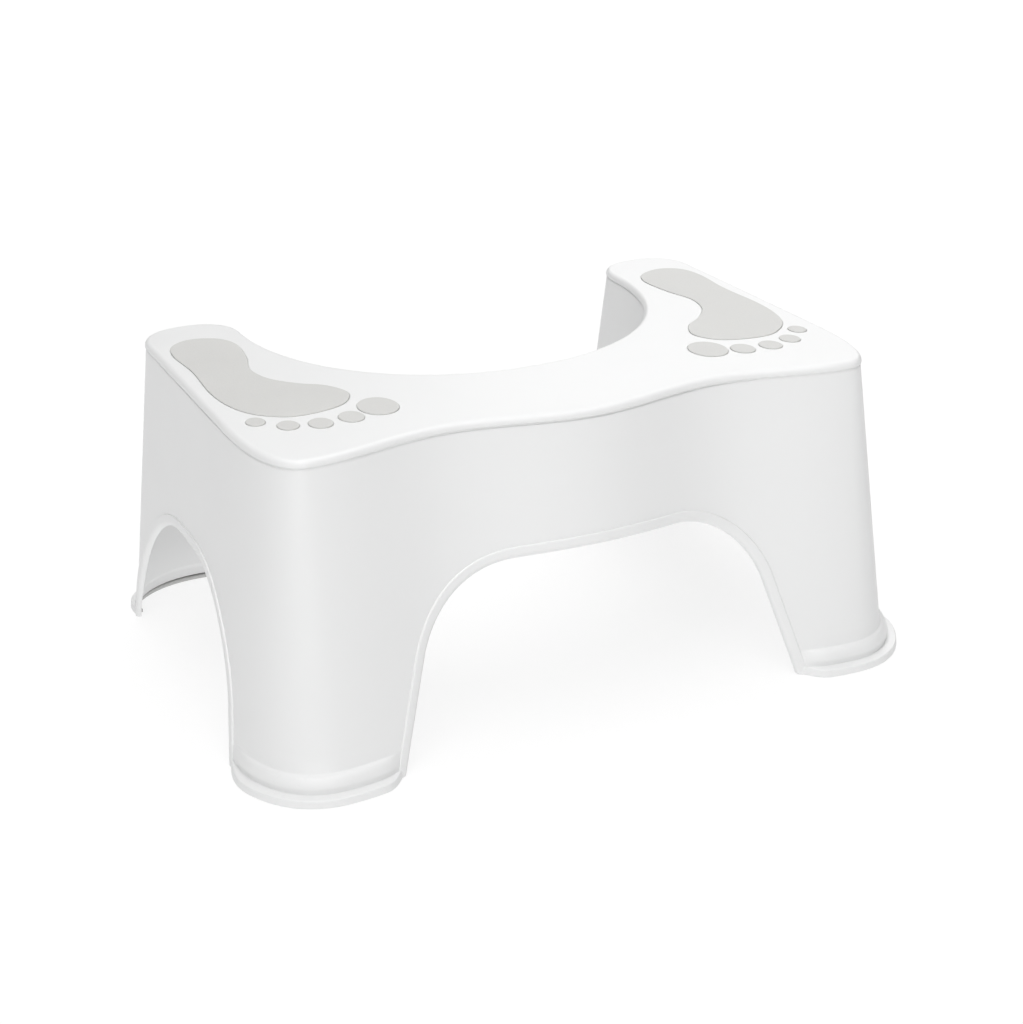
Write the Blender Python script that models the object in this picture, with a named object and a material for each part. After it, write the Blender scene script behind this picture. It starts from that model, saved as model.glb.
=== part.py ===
# Toilet footstool: one moulded shell, grey footprint pads and rubber foot strips.
# Frame: X runs along the stool, -Y is the side the toes point to, +Y is the side of the toilet,
# Z is up, and the origin lies on the floor under the middle of the stool. Lengths are in metres.

import math

import bmesh
import bpy
from mathutils import Vector

# Overall size
deck_height = 0.2095
deck_half_length = 0.2115
deck_half_depth = 0.1425
draft_degrees = 7.2

# Plan of the deck
front_bulge = 0.0150
scoop_from_middle = 0.0940
front_lobe_depth = 0.0150
corner_length = 0.0275
corner_depth = 0.0800
corner_power = 2.4
arm_width = 0.0650
arm_end_depth = 0.0325
arm_power = 2.3
cutout_depth = 0.1600
cutout_power = 2.1

# Moulded walls
wall = 0.0026
deck_thickness = 0.0030
edge_radius = 0.0036
rim_overhang = 0.0008
rim_height = 0.0050

# Foot flange, which dies away towards the arches
flange_height = 0.0165
flange_reach = 0.0105
flange_rim_height = 0.0052
flange_bead_reach = 0.0050
flange_bead_middle = 0.0098
flange_groove = 0.0010
flange_edge = 0.0007
flange_front_fade = 0.0180
flange_end_fade = 0.0340
flange_back_fade = 0.0240

# Arches between the legs
front_arch_half_width = 0.1445
front_arch_height = 0.1270
front_arch_crown = 0.0065
front_arch_lean = 0.0385
front_arch_shoulder = 0.0750
front_arch_crown_radius = 0.5000
front_leg_depth = 0.0405
back_leg_depth = 0.0115
end_arch_height = 0.1110
end_arch_front_lean = 0.0170
end_arch_back_lean = 0.0490
end_arch_front_shoulder_share = 0.369
end_arch_back_shoulder_share = 0.451
back_arch_height = 0.1190
back_arch_shoulder = 0.0650
arch_band_width = 0.0050
arch_band_height = 0.0010
cut_overrun = 0.0100

# Ribs under the deck
rib_thickness = 0.0018
rib_drop = 0.0130
rib_bite = 0.0012
rib_pitch = 0.0470
arm_rib_pitch = 0.0450

# Footprint pads
sole_length = 0.1770
sole_width = 0.0780
sole_margin = 0.0085
sole_heel_margin = 0.0355
pad_thickness = 0.0012
pad_stand = 0.0005
pad_edge = 0.0003
clearance = 0.0003

# Rubber strips pressed into the hollow of each foot flange
strip_stand = 0.0006
strip_width = 0.0040
strip_end_gap = 0.0030

# Where the end arches meet the floor, front and back of the middle
end_arch_front = deck_half_depth - front_leg_depth
end_arch_back = deck_half_depth - back_leg_depth

# Facets
corner_steps = 14
wave_steps = 15
side_steps = 6
arm_steps = 20
cutout_steps = 18
fillet_steps = 9
round_steps = 4
sole_steps = 3
toe_sides = 20

# Sole outline: shares of sole_width from the big toe's side and of sole_length from the ball.
sole_outline_shares = [
    (0.00, 0.16), (0.03, 0.09), (0.15, 0.03), (0.36, 0.00), (0.58, 0.00), (0.76, 0.05), (0.88, 0.12),
    (0.96, 0.23), (0.99, 0.38), (0.97, 0.62), (1.00, 0.83), (0.94, 0.95), (0.75, 1.00), (0.52, 0.96),
    (0.42, 0.86), (0.45, 0.69), (0.52, 0.55), (0.46, 0.42), (0.29, 0.32), (0.10, 0.25),
]

# Toes from the big one outwards: place in the same shares, then width and length as shares of sole_width.
toe_shares = [
    (-0.10, -0.040, 0.32, 0.41),
    (0.17, -0.096, 0.20, 0.25),
    (0.43, -0.107, 0.19, 0.23),
    (0.67, -0.076, 0.17, 0.21),
    (0.87, 0.008, 0.15, 0.19),
]


def clear_scene():
    for item in list(bpy.data.objects):
        bpy.data.objects.remove(item, do_unlink=True)


def make_material(name, colour, roughness):
    material = bpy.data.materials.new(name)
    material.use_nodes = True
    shader = material.node_tree.nodes["Principled BSDF"]
    shader.inputs["Base Color"].default_value = (*colour, 1.0)
    shader.inputs["Roughness"].default_value = roughness
    shader.inputs["Metallic"].default_value = 0.0
    material.diffuse_color = (*colour, 1.0)
    return material


def make_object(name, mesh_data, material=None):
    mesh = bpy.data.meshes.new(name)
    bmesh.ops.recalc_face_normals(mesh_data, faces=mesh_data.faces)
    mesh_data.to_mesh(mesh)
    mesh_data.free()
    item = bpy.data.objects.new(name, mesh)
    bpy.context.collection.objects.link(item)
    if material:
        mesh.materials.append(material)
        mesh.shade_smooth()
        mesh.set_sharp_from_angle(angle=math.radians(35))
    else:
        item.hide_render = True
        item.display_type = "WIRE"
    return item


def superellipse(centre_x, centre_y, half_x, half_y, power, start, end, steps):
    # Points from the start angle up to, but not including, the end angle.
    points = []
    for step in range(steps):
        angle = start + (end - start) * step / steps
        along = math.copysign(abs(math.cos(angle)) ** (2 / power), math.cos(angle))
        across = math.copysign(abs(math.sin(angle)) ** (2 / power), math.sin(angle))
        points.append((centre_x + half_x * along, centre_y + half_y * across))
    return points


def ease(share):
    # 0 to 1 with level ends, as a cosine wave.
    return (1 - math.cos(math.pi * share)) / 2


def deck_half_outline():
    # Right half, from the middle of the front edge round to the bottom of the toilet cut-out.
    lobe_x = deck_half_length - corner_length
    scoop_y = -deck_half_depth + front_lobe_depth
    side_start_y = -deck_half_depth + corner_depth
    side_end_y = deck_half_depth - arm_end_depth
    arm_middle_x = deck_half_length - arm_width / 2
    cutout_half_width = deck_half_length - arm_width
    points = []
    for step in range(wave_steps):
        share = step / wave_steps
        points.append((scoop_from_middle * share, scoop_y - front_bulge * (1 - ease(share))))
    for step in range(wave_steps):
        share = step / wave_steps
        along = scoop_from_middle + (lobe_x - scoop_from_middle) * share
        points.append((along, scoop_y - front_lobe_depth * ease(share)))
    points += superellipse(lobe_x, side_start_y, corner_length, corner_depth, corner_power,
                           -math.pi / 2, 0, corner_steps)
    for step in range(side_steps):
        share = step / side_steps
        points.append((deck_half_length, side_start_y + (side_end_y - side_start_y) * share))
    points += superellipse(arm_middle_x, side_end_y, arm_width / 2, arm_end_depth, arm_power,
                           0, math.pi, arm_steps)
    points += superellipse(0, side_end_y, cutout_half_width, cutout_depth, cutout_power,
                           0, -math.pi / 2, cutout_steps)
    points.append((0, side_end_y - cutout_depth))
    return points


def deck_outline():
    right = deck_half_outline()
    left = [(-x, y) for x, y in reversed(right[1:-1])]
    return right + left


def outward_normals(outline):
    normals = []
    count = len(outline)
    for index in range(count):
        before = outline[index - 1]
        after = outline[(index + 1) % count]
        run = Vector((after[0] - before[0], after[1] - before[1]))
        normals.append(Vector((run.y, -run.x)).normalized())
    return normals


def drafted(height):
    # How far the drafted outer wall stands outside the deck outline at a height.
    return (deck_height - edge_radius - height) * math.tan(math.radians(draft_degrees))


def flange_fades(outline, normals):
    # How much of the flange each outline point carries: none at an arch's edge, all of it past
    # the fade, along a quarter sine. The places are those where the wall meets the floor.
    fades = []
    for point, normal in zip(outline, normals):
        foot_x = abs(point[0] + normal.x * drafted(0))
        foot_y = point[1] + normal.y * drafted(0)
        if foot_y > 0:
            share = (foot_y - end_arch_back) / flange_back_fade
        else:
            share = min((foot_x - front_arch_half_width) / flange_front_fade,
                        (-end_arch_front - foot_y) / flange_end_fade)
        fades.append(math.sin(math.pi / 2 * min(max(share, 0), 1)))
    return fades


def section_ring(outline, normals, fades, section):
    # A section is a height, a reach beyond the deck outline and the part of it that is flange.
    height, reach, flange = section
    ring = []
    for point, normal, fade in zip(outline, normals, fades):
        out = reach + flange * fade
        ring.append(Vector((point[0] + normal.x * out, point[1] + normal.y * out, height)))
    return ring


def loft(rings, closed=False):
    # Quads between rings of equal count, with a flat cap at each end unless the rings close up.
    mesh_data = bmesh.new()
    rows = [[mesh_data.verts.new(point) for point in ring] for ring in rings]
    pairs = list(zip(rows, rows[1:]))
    if closed:
        pairs.append((rows[-1], rows[0]))
    else:
        mesh_data.faces.new(rows[0])
        mesh_data.faces.new(rows[-1])
    for lower, upper in pairs:
        for index in range(len(lower)):
            after = (index + 1) % len(lower)
            mesh_data.faces.new((lower[index], lower[after], upper[after], upper[index]))
    return mesh_data


def prism(outline, place):
    # A straight prism: place(point, end) gives the corner of each outline point at end 0 and 1.
    return loft([[place(point, end) for point in outline] for end in (0, 1)])


def merged(solids):
    # Several solids that don't touch each other, as one mesh.
    whole = bmesh.new()
    for solid in solids:
        corners = {vert: whole.verts.new(vert.co) for vert in solid.verts}
        for face in solid.faces:
            whole.faces.new([corners[vert] for vert in face.verts])
        solid.free()
    return whole


def rounded_outline(corners):
    # Each corner is a point and a radius; corners of radius 0 stay sharp.
    points = []
    count = len(corners)
    for index, (corner, radius) in enumerate(corners):
        here = Vector(corner)
        if not radius:
            points.append(here)
            continue
        back = (Vector(corners[index - 1][0]) - here).normalized()
        ahead = (Vector(corners[(index + 1) % count][0]) - here).normalized()
        half_angle = back.angle(ahead) / 2
        start = here + back * (radius / math.tan(half_angle))
        centre = here + (back + ahead).normalized() * (radius / math.sin(half_angle))
        sweep = math.pi - 2 * half_angle
        arm = start - centre
        side = (here - start).normalized() * radius
        for step in range(fillet_steps + 1):
            turn = sweep * step / fillet_steps
            points.append(centre + arm * math.cos(turn) + side * math.sin(turn))
    return points


def boolean(target, cutter, operation):
    modifier = target.modifiers.new(operation.title() + " " + cutter.name, "BOOLEAN")
    modifier.operation = operation
    modifier.solver = "EXACT"
    modifier.object = cutter


def flange_profile():
    # Height and reach beyond the drafted wall, from the floor edge up to the wall: a flat rim,
    # a ledge on top of it, then a bead that bulges out of the ledge's corner and runs up into the leg.
    points = [(0, flange_reach - flange_edge)]
    points.append((flange_edge, flange_reach))
    points.append((flange_rim_height - flange_edge, flange_reach))
    points.append((flange_rim_height, flange_reach - flange_edge))
    points.append((flange_rim_height, flange_bead_reach - flange_groove))
    bead_rise = flange_height - flange_bead_middle
    for step in range(round_steps + 2):
        angle = math.pi / 2 * step / (round_steps + 1)
        points.append((flange_bead_middle + bead_rise * math.sin(angle), flange_bead_reach * math.cos(angle)))
    return points


def outer_profile():
    # The sections of the outer skin, bottom to top.
    sections = []
    for height, flange in flange_profile():
        level = strip_stand + height
        sections.append((level, drafted(level), flange))
    rim_bottom = deck_height - rim_height
    sections.append((rim_bottom, drafted(rim_bottom) - rim_overhang, 0))
    sections.append((rim_bottom + rim_overhang, rim_overhang, 0))
    for step in range(round_steps + 1):
        angle = math.pi / 2 * step / round_steps
        sections.append((deck_height - edge_radius * (1 - math.sin(angle)),
                         rim_overhang - edge_radius * (1 - math.cos(angle)), 0))
    return sections


def inner_profile():
    # The sections of the inside, top to bottom: the hollow of the flange follows its outside.
    ceiling = deck_height - deck_thickness
    sections = [(ceiling, drafted(ceiling) - rim_overhang - 2 * wall, 0)]
    sections.append((ceiling - wall, drafted(ceiling - wall) - rim_overhang - wall, 0))
    flange_top = strip_stand + flange_height
    bead_middle = strip_stand + flange_bead_middle
    ledge = strip_stand + flange_rim_height
    sections.append((flange_top, drafted(flange_top) - wall, 0))
    sections.append((flange_top - wall, drafted(flange_top - wall) - wall, flange_bead_reach / 2))
    sections.append((bead_middle, drafted(bead_middle) - wall, flange_bead_reach))
    sections.append((ledge, drafted(ledge) - wall, flange_bead_reach - flange_groove))
    sections.append((ledge - wall, drafted(ledge - wall) - wall, flange_reach))
    sections.append((strip_stand, drafted(strip_stand) - wall, flange_reach))
    return sections


def section_rings(outline, sections):
    normals = outward_normals(outline)
    fades = flange_fades(outline, normals)
    return [section_ring(outline, normals, fades, section) for section in sections]


def between_points(outline):
    # The midpoint of each side, so that two skins on one outline don't share their upright edges.
    count = len(outline)
    return [((outline[index][0] + outline[(index + 1) % count][0]) / 2,
             (outline[index][1] + outline[(index + 1) % count][1]) / 2) for index in range(count)]


def front_arch_outline(grow):
    # Across X and up Z, leaning sides and a crowned top, grown outwards by a distance.
    foot = front_arch_half_width + grow
    top = front_arch_height + grow
    lean = front_arch_lean / front_arch_height
    spring = top - front_arch_crown
    spring_x = foot - lean * spring
    below = foot + lean * cut_overrun
    radius = front_arch_shoulder + grow
    return rounded_outline([
        ((-below, -cut_overrun), 0), ((below, -cut_overrun), 0), ((spring_x, spring), radius),
        ((0, top), front_arch_crown_radius), ((-spring_x, spring), radius)])


def end_arch_outline(grow):
    # Across Y and up Z, nearly a half round, with the back leg's side leaning more.
    span = end_arch_front + end_arch_back
    front = end_arch_front + grow
    back = end_arch_back + grow
    top = end_arch_height + grow
    front_lean = end_arch_front_lean / end_arch_height
    back_lean = end_arch_back_lean / end_arch_height
    return rounded_outline([
        ((-front - front_lean * cut_overrun, -cut_overrun), 0),
        ((back + back_lean * cut_overrun, -cut_overrun), 0),
        ((back - back_lean * top, top), span * end_arch_back_shoulder_share + grow),
        ((front_lean * top - front, top), span * end_arch_front_shoulder_share + grow)])


def back_arch_outline(grow):
    # Across Y and up Z: level under the toilet cut-out, then down to the back legs.
    front = end_arch_front - cut_overrun
    back = end_arch_back + grow
    top = back_arch_height + grow
    lean = end_arch_back_lean / end_arch_height
    return rounded_outline([
        ((-front, -cut_overrun), 0), ((back + lean * cut_overrun, -cut_overrun), 0),
        ((back - lean * top, top), back_arch_shoulder + grow), ((-front, top), 0)])


def arch_cutter(name, grow):
    # Four prisms that open the front, the two ends and the wall round the toilet cut-out.
    far = deck_half_length + drafted(0) + flange_reach + cut_overrun
    front = deck_half_depth + drafted(0) + flange_reach + cut_overrun
    near = deck_half_length - arm_width / 2

    def across(start, end):
        return lambda point, side: Vector((start + (end - start) * side, point[0], point[1]))

    def through(start, end):
        return lambda point, side: Vector((point[0], start + (end - start) * side, point[1]))

    return make_object(name, merged([
        prism(front_arch_outline(grow), through(-front, -end_arch_front)),
        prism(end_arch_outline(grow), across(near, far)),
        prism(end_arch_outline(grow), across(-far, -near)),
        prism(back_arch_outline(grow), across(cut_overrun - near, near - cut_overrun))]))


def box(low, high):
    outline = [(low[0], low[1]), (high[0], low[1]), (high[0], high[1]), (low[0], high[1])]
    return prism(outline, lambda point, side: Vector((point[0], point[1], (low[2], high[2])[side])))


def add_ribs(shell):
    # Stiffening ribs under the deck: one along the middle and each arm, crossed by rows of short ones.
    ceiling = deck_height - deck_thickness
    bottom = ceiling - rib_drop
    top = ceiling + rib_bite
    arm_end_y = deck_half_depth - arm_end_depth
    middle_y = (arm_end_y - cutout_depth + front_lobe_depth - deck_half_depth) / 2
    arm_x = deck_half_length - arm_width / 2
    arm_inner_x = arm_x - arm_width
    half = rib_thickness / 2

    def rib(start_x, start_y, end_x, end_y):
        return box((start_x, start_y, bottom - rib_bite), (end_x, end_y, top + rib_bite))

    lengthwise = [rib(-deck_half_length, middle_y - half, deck_half_length, middle_y + half)]
    for index in range(1, math.floor((arm_end_y - middle_y) / arm_rib_pitch) + 1):
        across = middle_y + index * arm_rib_pitch
        lengthwise.append(rib(arm_inner_x, across - half, deck_half_length, across + half))
        lengthwise.append(rib(-deck_half_length, across - half, -arm_inner_x, across + half))
    crosswise = [rib(side * arm_x - half, middle_y, side * arm_x + half, deck_half_depth) for side in (-1, 1)]
    cross_count = math.floor(arm_x / rib_pitch)
    for index in range(-cross_count, cross_count + 1):
        along = index * rib_pitch
        crosswise.append(rib(along - half, -deck_half_depth, along + half, deck_half_depth))

    # The ribs end just inside the walls and the deck.
    inside = rib_bite - wall - rim_overhang
    zone = make_object("rib_zone", loft(section_rings(deck_outline(), [
        (bottom, drafted(bottom) + inside, 0), (top, drafted(top) + inside, 0)])))
    grid = make_object("lengthwise_ribs", merged(lengthwise))
    boolean(grid, make_object("crosswise_ribs", merged(crosswise)), "UNION")
    boolean(grid, zone, "INTERSECT")
    boolean(shell, grid, "UNION")


def add_arch_bands(shell):
    # A low raised band along every arch edge, laid on the drafted wall above the flange.
    top = front_arch_height + arch_band_width + cut_overrun
    bottom = strip_stand + flange_height - wall
    sections = [(height, drafted(height) + reach, 0) for height, reach in (
        (bottom, -wall / 2), (top, -wall / 2), (top, arch_band_height), (bottom, arch_band_height))]
    outline = between_points(deck_outline())
    bands = make_object("arch_bands", loft(section_rings(outline, sections), closed=True))
    boolean(bands, arch_cutter("arch_band_limits", arch_band_width), "INTERSECT")
    boolean(shell, bands, "UNION")


def smooth_loop(points, steps):
    # A closed Catmull-Rom curve through the points.
    count = len(points)
    loop = []
    for index in range(count):
        nearby = [Vector(points[(index + shift) % count]) for shift in (-1, 0, 1, 2)]
        for step in range(steps):
            share = step / steps
            ahead = nearby[1] + (nearby[2] - nearby[0]) * (share / 2)
            bend = nearby[0] * 2 - nearby[1] * 5 + nearby[2] * 4 - nearby[3]
            twist = nearby[1] * 3 - nearby[0] - nearby[2] * 3 + nearby[3]
            loop.append(ahead + bend * (share ** 2 / 2) + twist * (share ** 3 / 2))
    return loop


def sole_outline():
    inner_x = deck_half_length - sole_margin - sole_width
    ball_y = deck_half_depth - sole_heel_margin - sole_length
    points = [(inner_x + across * sole_width, ball_y + along * sole_length)
              for across, along in sole_outline_shares]
    return smooth_loop(points, sole_steps)


def toe_outline(toe):
    inner_x = deck_half_length - sole_margin - sole_width
    ball_y = deck_half_depth - sole_heel_margin - sole_length
    centre_x = inner_x + toe[0] * sole_width
    centre_y = ball_y + toe[1] * sole_length
    points = []
    for step in range(toe_sides):
        angle = 2 * math.pi * step / toe_sides
        points.append(Vector((centre_x + toe[2] * sole_width / 2 * math.cos(angle),
                              centre_y + toe[3] * sole_width / 2 * math.sin(angle))))
    return points


def pad_solid(outline, side, levels):
    # Each level is a height and a reach beyond the pad's outline; side -1 mirrors it.
    normals = outward_normals([(point[0], point[1]) for point in outline])
    rings = []
    for height, reach in levels:
        ring = []
        for point, normal in zip(outline, normals):
            ring.append(Vector((side * (point[0] + normal.x * reach), point[1] + normal.y * reach, height)))
        rings.append(ring)
    return loft(rings)


def add_pads(shell, material):
    # Each pad sits in its own shallow recess and stands just proud of the deck.
    top = deck_height + pad_stand
    bottom = top - pad_thickness
    recesses = []
    for side_name, side in (("left", -1), ("right", 1)):
        pads = [(side_name + "_sole_pad", sole_outline())]
        for number, toe in enumerate(toe_shares, start=1):
            pads.append(("%s_toe_pad_%d" % (side_name, number), toe_outline(toe)))
        for name, outline in pads:
            make_object(name, pad_solid(outline, side, [
                (bottom, 0), (top - pad_edge, 0), (top, -pad_edge)]), material)
            recesses.append(pad_solid(outline, side, [
                (bottom - clearance, clearance), (top + cut_overrun, clearance)]))
    boolean(shell, make_object("pad_recesses", merged(recesses)), "DIFFERENCE")


def add_strips(material):
    # One rubber strip in each foot, cut short of the leg's edges.
    outer = wall + clearance
    inner = outer + strip_width
    top = strip_stand + flange_rim_height - outer
    sections = [(height, drafted(height) - inset, flange_reach)
                for height, inset in ((0, outer), (top, outer), (top, inner), (0, inner))]
    cutter = arch_cutter("strip_arches", strip_end_gap)
    far = deck_half_length + drafted(0) + flange_reach + cut_overrun
    for depth_name, depth_side in (("front", -1), ("back", 1)):
        for length_name, length_side in (("left", -1), ("right", 1)):
            strip = make_object(depth_name + "_" + length_name + "_foot_strip",
                                loft(section_rings(deck_outline(), sections), closed=True), material)
            ends_x = sorted((0, length_side * far))
            ends_y = sorted((0, depth_side * far))
            quarter = make_object(strip.name + "_quarter", box(
                (ends_x[0], ends_y[0], -cut_overrun), (ends_x[1], ends_y[1], deck_height)))
            boolean(strip, quarter, "INTERSECT")
            boolean(strip, cutter, "DIFFERENCE")


def build():
    clear_scene()
    white_plastic = make_material("white plastic", (0.86, 0.86, 0.85), 0.42)
    grey_rubber = make_material("grey pad rubber", (0.52, 0.52, 0.50), 0.75)
    foot_rubber = make_material("foot rubber", (0.62, 0.62, 0.61), 0.80)
    sections = inner_profile() + outer_profile()
    shell = make_object("stool_shell", loft(section_rings(deck_outline(), sections)), white_plastic)
    add_ribs(shell)
    add_arch_bands(shell)
    add_pads(shell, grey_rubber)
    boolean(shell, arch_cutter("arches", 0), "DIFFERENCE")
    add_strips(foot_rubber)


build()
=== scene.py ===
# Toilet footstool: the looks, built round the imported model.
# X runs along the stool, -Y is the toe side, +Y the toilet side, Z is up. Lengths are in metres.
import math
import bpy
import numpy as np
from mathutils import Matrix, Vector
from mathutils.geometry import tessellate_polygon


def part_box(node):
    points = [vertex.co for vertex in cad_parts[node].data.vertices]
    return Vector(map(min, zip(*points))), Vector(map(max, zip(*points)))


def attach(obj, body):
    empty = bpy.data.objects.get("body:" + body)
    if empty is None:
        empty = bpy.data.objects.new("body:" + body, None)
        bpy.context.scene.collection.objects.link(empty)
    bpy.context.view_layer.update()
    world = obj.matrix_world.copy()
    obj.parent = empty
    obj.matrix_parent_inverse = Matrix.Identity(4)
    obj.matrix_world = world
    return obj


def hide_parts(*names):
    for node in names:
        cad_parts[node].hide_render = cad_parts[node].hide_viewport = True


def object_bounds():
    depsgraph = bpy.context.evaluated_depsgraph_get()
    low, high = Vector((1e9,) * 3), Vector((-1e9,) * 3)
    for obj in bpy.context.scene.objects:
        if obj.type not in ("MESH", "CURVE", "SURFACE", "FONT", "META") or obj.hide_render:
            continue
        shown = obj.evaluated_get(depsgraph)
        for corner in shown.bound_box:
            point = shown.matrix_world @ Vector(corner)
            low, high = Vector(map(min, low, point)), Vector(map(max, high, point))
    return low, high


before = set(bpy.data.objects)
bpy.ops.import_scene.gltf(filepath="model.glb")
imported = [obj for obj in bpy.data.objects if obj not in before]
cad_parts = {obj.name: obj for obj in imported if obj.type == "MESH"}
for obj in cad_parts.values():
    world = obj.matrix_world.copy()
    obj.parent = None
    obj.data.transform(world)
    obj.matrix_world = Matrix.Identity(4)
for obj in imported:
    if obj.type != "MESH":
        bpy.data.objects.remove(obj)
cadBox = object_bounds()
shellLow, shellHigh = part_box("stool_shell")
print("frame loaded, %d nodes" % len(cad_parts))


# Shader maths: a socket in ordinary operators

class Shade:
    def __init__(self, tree, out=None):
        self.tree = tree
        self.out = out

    def node(self, kind, settings, inlets, outlet=0):
        # Settings are set first, then each inlet gets its value or link.
        made = self.tree.nodes.new(kind)
        for key, value in settings.items():
            setattr(made, key, value)
        for name, value in inlets.items():
            if isinstance(value, Shade):
                self.tree.links.new(value.out, made.inputs[name])
            else:
                made.inputs[name].default_value = value
        return Shade(self.tree, made.outputs[outlet])

    def maths(self, operation, left, right):
        return self.node("ShaderNodeMath", {"operation": operation}, {0: left, 1: right})

    def __add__(self, other):
        return self.maths("ADD", self, other)

    def __radd__(self, other):
        return self.maths("ADD", other, self)

    def __sub__(self, other):
        return self.maths("SUBTRACT", self, other)

    def __rsub__(self, other):
        return self.maths("SUBTRACT", other, self)

    def __mul__(self, other):
        return self.maths("MULTIPLY", self, other)

    def __rmul__(self, other):
        return self.maths("MULTIPLY", other, self)

    def clamped(self):
        return self.node("ShaderNodeClamp", {}, {0: self})

    def mixed(self, first, second):                 # the first colour at 0, the second at 1
        return self.node("ShaderNodeMix", {"data_type": "RGBA"}, {0: self, 6: first, 7: second}, 2)


noiseMiddle = 0.5                                   # what a noise comes to on average


def newMaterial(name, constants):
    # A material, its shader with the constants set, a start for shader maths, Object coordinates.
    material = bpy.data.materials.new(name)
    material.use_nodes = True
    shader = material.node_tree.nodes["Principled BSDF"]
    for key, value in constants.items():
        shader.inputs[key].default_value = value
    start = Shade(material.node_tree)
    place = start.node("ShaderNodeTexCoord", {}, {}, "Object")
    return material, shader, start, place


def feed(material, shader, links):
    # Links what changes over the surface to the shader's sockets.
    for key, value in links.items():
        material.node_tree.links.new(value.out, shader.inputs[key])
    return material


def feedSurface(material, shader, start, colour, roughness, relief, depth):
    # Colour and roughness go straight in, the relief through a bump of the given depth.
    bump = start.node("ShaderNodeBump", {},
                      {"Strength": 1.0, "Distance": depth, "Height": relief}, "Normal")
    return feed(material, shader,
                {"Base Color": colour, "Roughness": roughness.clamped(), "Normal": bump})


def noise(start, place, scaleAndDetail):
    scale, detail = scaleAndDetail
    return start.node("ShaderNodeTexNoise", {},
                      {"Vector": place, "Scale": scale, "Detail": detail}, "Fac")


whitePlastic = {
    "light": (0.835, 0.837, 0.836, 1.0), "shade": (0.812, 0.815, 0.814, 1.0),
    "scuff": (0.74, 0.74, 0.73, 1.0), "ior": 1.49,
    "cloud": (9.0, 3.0), "gloss": (38.0, 4.0), "peel": (420.0, 2.0),    # noises: scale, detail
    "grain": (2600.0, 1.0), "speck": (286.0, 5.0),
    "roughness": 0.36, "roughnessSwing": 0.14,
    "peelShare": 0.22, "grainShare": 0.12, "bump": 0.00012,
    "scuffHeight": 0.03, "scuffFrom": 0.60, "scuffGain": 6.0, "scuffShare": 0.5,
    "scuffRoughness": 0.25,
}


def makeWhitePlastic():
    # Moulded plastic: cloudy whiteness, gloss that swings a little, orange peel and a fine grain.
    # Scuffs lie where a speckle passes a level, and fade out up to their height over the floor.
    use = whitePlastic
    material, shader, start, place = newMaterial("whitePlastic", {
        "IOR": use["ior"], "Metallic": 0.0})
    cloud = noise(start, place, use["cloud"])
    gloss = noise(start, place, use["gloss"])
    peel = noise(start, place, use["peel"])
    grain = noise(start, place, use["grain"])
    speck = noise(start, place, use["speck"])
    height = start.node("ShaderNodeSeparateXYZ", {}, {0: place}, "Z")
    lowDown = (1.0 - height * (1.0 / use["scuffHeight"])).clamped()
    marks = ((speck - use["scuffFrom"]) * use["scuffGain"]).clamped()
    scuffed = marks * lowDown * use["scuffShare"]
    clean = cloud.mixed(use["light"], use["shade"])
    colour = scuffed.mixed(clean, use["scuff"])
    swing = (gloss - noiseMiddle) * use["roughnessSwing"]
    roughness = use["roughness"] + swing + scuffed * use["scuffRoughness"]
    relief = peel * use["peelShare"] + grain * use["grainShare"]
    return feedSurface(material, shader, start, colour, roughness, relief, use["bump"])


rubberSkin = {                                      # what both rubbers have in common
    "ior": 1.50, "smoothness": 0.6, "roughnessSwing": 0.12,
    # the painted highlight on the pebbles' tops: its share, and the pebble height where it starts
    "cloudShare": 0.7, "grainShare": 0.3, "highlightShare": 0.25, "highlightFrom": 0.6,
    "pebbleRelief": 0.7, "grainRelief": 0.3,
}
padRubber = {
    "light": (0.655, 0.652, 0.636, 1.0), "shade": (0.600, 0.598, 0.584, 1.0), "specular": 0.5,
    "cloud": (26.0, 4.0), "grain": (3600.0, 2.0), "pebbleScale": 850.0,
    "roughness": 0.50, "bump": 0.00020,
}
footRubber = {
    "light": (0.60, 0.60, 0.59, 1.0), "shade": (0.50, 0.50, 0.49, 1.0), "specular": 0.35,
    "cloud": (40.0, 4.0), "grain": (3000.0, 2.0), "pebbleScale": 700.0,
    "roughness": 0.80, "bump": 0.00020,
}


def makeRubber(name, use):
    # Soft rubber: a pebbled skin from rounded cells, with a painted highlight that lightens the
    # pebbles' tops.
    skin = rubberSkin
    material, shader, start, place = newMaterial(name, {
        "IOR": skin["ior"], "Metallic": 0.0, "Specular IOR Level": use["specular"]})
    cloud = noise(start, place, use["cloud"])
    grain = noise(start, place, use["grain"])
    pebble = 1.0 - start.node("ShaderNodeTexVoronoi", {"feature": "SMOOTH_F1"}, {
        "Vector": place, "Scale": use["pebbleScale"], "Smoothness": skin["smoothness"]}, "Distance")
    # painted highlight: the colour is lightened where the pebbles stand highest
    paintedHighlight = (pebble - skin["highlightFrom"]) * skin["highlightShare"]
    tone = (cloud * skin["cloudShare"] + grain * skin["grainShare"] + paintedHighlight).clamped()
    colour = tone.mixed(use["shade"], use["light"])
    roughness = use["roughness"] + (cloud - noiseMiddle) * skin["roughnessSwing"]
    relief = pebble * skin["pebbleRelief"] + grain * skin["grainRelief"]
    return feedSurface(material, shader, start, colour, roughness, relief, use["bump"])


materials = {
    "white_plastic": makeWhitePlastic(),
    "pad_rubber": makeRubber("padRubber", padRubber),
    "foot_rubber": makeRubber("footRubber", footRubber),
}
print("materials made")


# Mesh helpers

creaseAngle = math.radians(42)                      # faces that meet at more than this show an edge


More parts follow.
